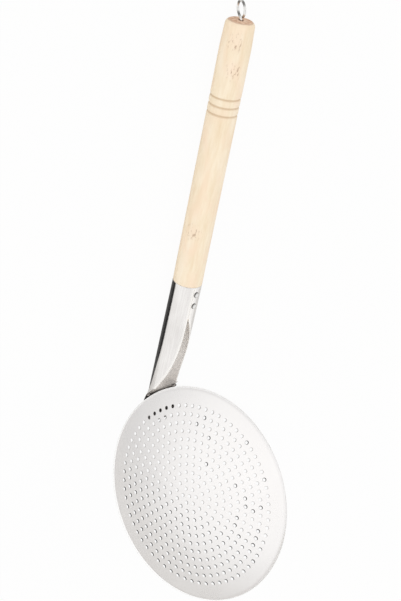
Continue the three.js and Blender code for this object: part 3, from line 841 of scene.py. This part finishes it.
def nail_surface(along):
    """A domed head on a round shank that ends in a point, turned about the line it was driven on. The
    mark is painted shade and dark reflection, from a ring on the dome outwards."""
    dome = np.linspace(0, math.pi / 2, DOME_STEPS)
    height = nail_seat + np.concatenate([
        NAIL_HEAD_HEIGHT * np.cos(dome), [-NAIL_HEAD_EDGE, -NAIL_HEAD_UNDER],
        [-NAIL_HEAD_UNDER, NAIL_POINT - NAIL_LENGTH, -NAIL_LENGTH],
    ])
    radius = np.concatenate([
        NAIL_HEAD_RADIUS * np.sin(dome), [NAIL_HEAD_RADIUS, NAIL_HEAD_RADIUS * NAIL_HEAD_TUCK],
        [NAIL_SHANK_RADIUS, NAIL_SHANK_RADIUS, 0],
    ])
    turn = np.arange(NAIL_SIDES)[:, None] * 2 * math.pi / NAIL_SIDES
    points = from_tube(np.stack([
        along + radius * np.cos(turn), radius * np.sin(turn), height + 0 * turn,
    ], axis=-1))
    index = np.arange(points[..., 0].size).reshape(points.shape[:2])
    # Painted shade and dark reflection at the head's edge.
    shade_and_dark_reflection = np.concatenate([eased(dome, *NAIL_DARK_EDGE), np.ones(len(radius) - len(dome))])
    marks = {"shade_and_dark_reflection": np.broadcast_to(shade_and_dark_reflection, index.shape)}
    return points.reshape(-1, 3), [wrapped_quads(index)[:, ::-1]], marks


def wire_finish(name, roughness):
    """Bright drawn steel, a little scuffed, dark where painted shade and dark reflection are marked."""
    finish = Finish(name)
    scuff = finish.noise(finish.place((1, 1, 1)), scale=300, detail=3)
    tone = finish.mix(scuff, WIRE_DARK, WIRE_LIGHT)
    # Painted shade and dark reflection where marked.
    tone = finish.mix(finish.mark("shade_and_dark_reflection"), tone, SHADE_AND_REFLECTION_BLACK)
    finish.set(Base_Color=tone, Roughness=scuff * 0.15 + roughness, Metallic=1.0)
    return finish.material


nail_steel = wire_finish("nail_steel", roughness=0.15)
for place, nail in enumerate(("upper_nail", "lower_nail")):
    nail_shape = nail_surface(-NAIL_FROM_MOUTH - place * NAIL_SPACING)
    add_piece(f"{nail}_shape", nail_shape, nail, nail_steel)


# Screw eye: one length of drawn steel wire, bent to a ring that closes beside its own shank, and
# screwed into the end of the handle. The skimmer hangs by it.
EYE_RADIUS = 7.6
EYE_NECK = 1.5
EYE_SCREW_LENGTH = 18
EYE_TURN = math.radians(-112)
EYE_TILT = math.radians(9)
EYE_TILT_SIDE = math.radians(-45)
EYE_LEAVE = math.radians(48)
EYE_CLOSE = math.radians(338)
EYE_BEND_PULLS = (1.6, 2.6)
EYE_SHANK_STEPS = 24
EYE_BEND_STEPS = 16
EYE_RING_STEPS = 72
EYE_SIDES = 20
# Painted dark reflections on stretches of the eye wire: where along it, how wide and how dark.
DARK_REFLECTION_STRETCHES = (0.33, 0.56, 0.73, 0.98)
DARK_REFLECTION_REACH = 0.05
DARK_REFLECTION_DEPTH = 0.85


def eye_path():
    """Up the shank, off to one side on a curve, and round the ring back to the shank."""
    middle = EYE_NECK + EYE_WIRE_RADIUS + EYE_RADIUS
    screw = np.linspace(-EYE_SCREW_LENGTH, 0, EYE_SHANK_STEPS)[:-1]
    shank = np.stack([screw, 0 * screw], axis=-1)
    round_turn = np.linspace(EYE_LEAVE, EYE_CLOSE, EYE_RING_STEPS)
    ring = np.stack([middle - EYE_RADIUS * np.cos(round_turn), EYE_RADIUS * np.sin(round_turn)], axis=-1)
    leave = np.array((math.sin(EYE_LEAVE), math.cos(EYE_LEAVE)))
    corners = np.array([(0, 0), (EYE_BEND_PULLS[0], 0), ring[0] - EYE_BEND_PULLS[1] * leave, ring[0]])
    t = np.linspace(0, 1, EYE_BEND_STEPS)[:-1, None]
    bend = ((1 - t) ** 3 * corners[0] + 3 * t * (1 - t) ** 2 * corners[1]
            + 3 * t * t * (1 - t) * corners[2] + t ** 3 * corners[3])
    return np.concatenate([shank, bend, ring])


def eye_surface():
    """A circle carried along the bent wire, with a point on the screw and a round end on the ring. The
    mark is painted dark reflection, on a few stretches of the wire."""
    path = eye_path()
    way = np.gradient(path, axis=0)
    way = way / np.linalg.norm(way, axis=1, keepdims=True)
    side = np.stack([-way[:, 1], way[:, 0]], axis=-1)
    thick = np.full(len(path), EYE_WIRE_RADIUS)
    thick[:3] *= (0, 0.5, 1)
    thick[-2:] *= (0.75, 0)
    turn = np.arange(EYE_SIDES)[:, None] * 2 * math.pi / EYE_SIDES
    flat = path + (thick * np.cos(turn))[..., None] * side
    depth = thick * np.sin(turn)
    points = np.concatenate([flat, depth[..., None]], axis=-1)
    index = np.arange(points[..., 0].size).reshape(points.shape[:2])
    tilted = spun(spun(points.reshape(-1, 3), 0, EYE_TURN - EYE_TILT_SIDE), 2, EYE_TILT)
    points = from_dowel(spun(tilted, 0, EYE_TILT_SIDE) + (HANDLE_LENGTH, 0, 0))
    way_round = np.linspace(0, 1, len(path))
    # Painted dark reflection on a few stretches of the wire.
    from_stretch = np.abs(way_round - np.array(DARK_REFLECTION_STRETCHES)[:, None])
    shade_and_dark_reflection = DARK_REFLECTION_DEPTH * np.exp(-(from_stretch / DARK_REFLECTION_REACH) ** 3).sum(axis=0)
    return points, [wrapped_quads(index)], {"shade_and_dark_reflection": np.broadcast_to(shade_and_dark_reflection, index.shape)}


eye_wire = wire_finish("eye_wire", roughness=0.18)
add_piece("screw_eye_wire", eye_surface(), "screw_eye", eye_wire)


# Table, card and room: a white table in a white room, which metal mirrors brightest up past the end of
# the handle. A dark card beside the socket, seen only in reflections, paints the table's shade as a dark
# reflection along the tube's edge.
TABLE_HALF = 4.0
TABLE_WHITE = (0.78, 0.77, 0.755, 1)
TABLE_GLOW = 0.95
LEFT_BAND = (0.06, 0.14)
LEFT_GLOW = 0.8
RIGHT_BAND = (0, -0.2)
FAR_BAND = (0.1, 0.7)
FAR_GLOW = 0.88
NEAR_GLOW = 0.06
BRIGHT_WAY = (0.82, -0.33, 0.47)
MIRRORED_LEAST = 0.74
MIRRORED_HALF = 0.24
MIRRORED_FULL = 0.16
ROOM_LEVEL = 1.03
ROOM_TO_LEFT = 0.09
CARD_LIFT = 0.008
CARD_GREY = (0.13, 0.13, 0.13, 1)
CARD_CHARCOAL = (0.035, 0.035, 0.035, 1)
CARD_GREY_BAND = (0.051, 0.060)
CARD_CORNERS = ((-12.6, 14.5, 0), (125, 13.6, 0), (125, 42, 0), (40, 40, 0), (20, 26, 0))


def table_finish():
    """White: the camera sees it lit from within, so that it stays white and keeps a soft shadow. Metal
    sees it bright on the left and far ahead on the right, and dark beside the bowl."""
    finish = Finish("white_table")
    finish.set(Base_Color=TABLE_WHITE, Roughness=0.9, Specular_IOR_Level=0.1)
    glow = finish.node("Emission", {}, {"Color": (1, 1, 1, 1), "Strength": 1.0})
    along = finish.node("SeparateXYZ", {}, {"Vector": finish.place((1, 1, 1))}, "X")
    across = finish.node("SeparateXYZ", {}, {"Vector": finish.place((1, 1, 1))}, "Y")
    left_lit = finish.between(across, *LEFT_BAND)
    far_lit = finish.between(along, *FAR_BAND) * finish.between(across, *RIGHT_BAND)
    in_metal = finish.ray("Glossy") * (left_lit * LEFT_GLOW + far_lit * FAR_GLOW + NEAR_GLOW)
    share_lit = finish.ray("Camera") * TABLE_GLOW + in_metal + finish.ray("Transmission") * TABLE_GLOW
    surface = Value(finish, finish.surface.outputs[0])
    shown = finish.node("MixShader", {}, {0: share_lit, 1: surface, 2: glow})
    finish.tree.links.new(shown.socket, finish.tree.nodes["Material Output"].inputs["Surface"])
    return finish.material


def reflected_shade_card_finish():
    """Charcoal, going to grey along its edge nearest to the socket: a painted dark reflection of shade."""
    finish = Finish("reflected_shade_card")
    across = finish.node("SeparateXYZ", {}, {"Vector": finish.place((1, 1, 1))}, "Y")
    tone = finish.mix(finish.between(across, *CARD_GREY_BAND), CARD_GREY, CARD_CHARCOAL)
    finish.set(Base_Color=tone, Roughness=1.0, Specular_IOR_Level=0.0)
    return finish.material


def add_sheet(name, corners, finish):
    """A flat part of the set."""
    mesh = bpy.data.meshes.new(name)
    mesh.from_pydata(corners.tolist(), [], [tuple(range(len(corners)))])
    mesh.materials.append(finish)
    sheet = bpy.data.objects.new(name, mesh)
    bpy.context.scene.collection.objects.link(sheet)
    return sheet


table_height = cad_box[0][2]
table_corners = TABLE_HALF * np.array([(-1, -1, 0), (1, -1, 0), (1, 1, 0), (-1, 1, 0)])
table_corners[:, 2] = table_height
add_sheet("table", table_corners, table_finish())

bend_middle = laid(socket_point(np.array(bend_end), np.array(0.0), np.array(TUBE_RADIUS)))
card_corners = bend_middle + MILLIMETRE * np.array(CARD_CORNERS)
card_corners[:, 2] = table_height + CARD_LIFT
card = add_sheet("reflected_shade_card", card_corners, reflected_shade_card_finish())
# The card shows only in metal, as a painted dark reflection of the table's shade beside the tube.
card.visible_camera = False
card.visible_diffuse = False
card.visible_shadow = False
card.visible_transmission = False

world = bpy.data.worlds.new("white_room")
world.use_nodes = True
room = Nodes(world.node_tree)
way = room.node("TexCoord", {}, {}, "Generated")
towards_light = room.node("VectorMath", {"operation": "DOT_PRODUCT"}, {0: way, 1: BRIGHT_WAY}, "Value")
backwards = room.node("VectorMath", {"operation": "DOT_PRODUCT"}, {0: way, 1: (-1, 0, 0)}, "Value")
to_left = room.node("VectorMath", {"operation": "DOT_PRODUCT"}, {0: way, 1: (0, 1, 0)}, "Value")
# Metal sees plain white behind the bowl and on the left.
past = room.math("MAXIMUM", room.between(backwards, 0.0, 0.4), room.between(to_left, 0.2, 0.7))
half_lit = room.between(towards_light, 0.42, 0.75) * MIRRORED_HALF
full_lit = room.between(towards_light, 0.55, 0.95) * MIRRORED_FULL
mirrored = half_lit + full_lit + MIRRORED_LEAST
mirrored = mirrored * (1 - past) + past
glossy = room.ray("Glossy")
room.fill(world.node_tree.nodes["Background"], {
    "Color": (1, 1, 1, 1),
    "Strength": glossy * mirrored + (1 - glossy) * (to_left * ROOM_TO_LEFT + ROOM_LEVEL),
})
bpy.context.scene.world = world
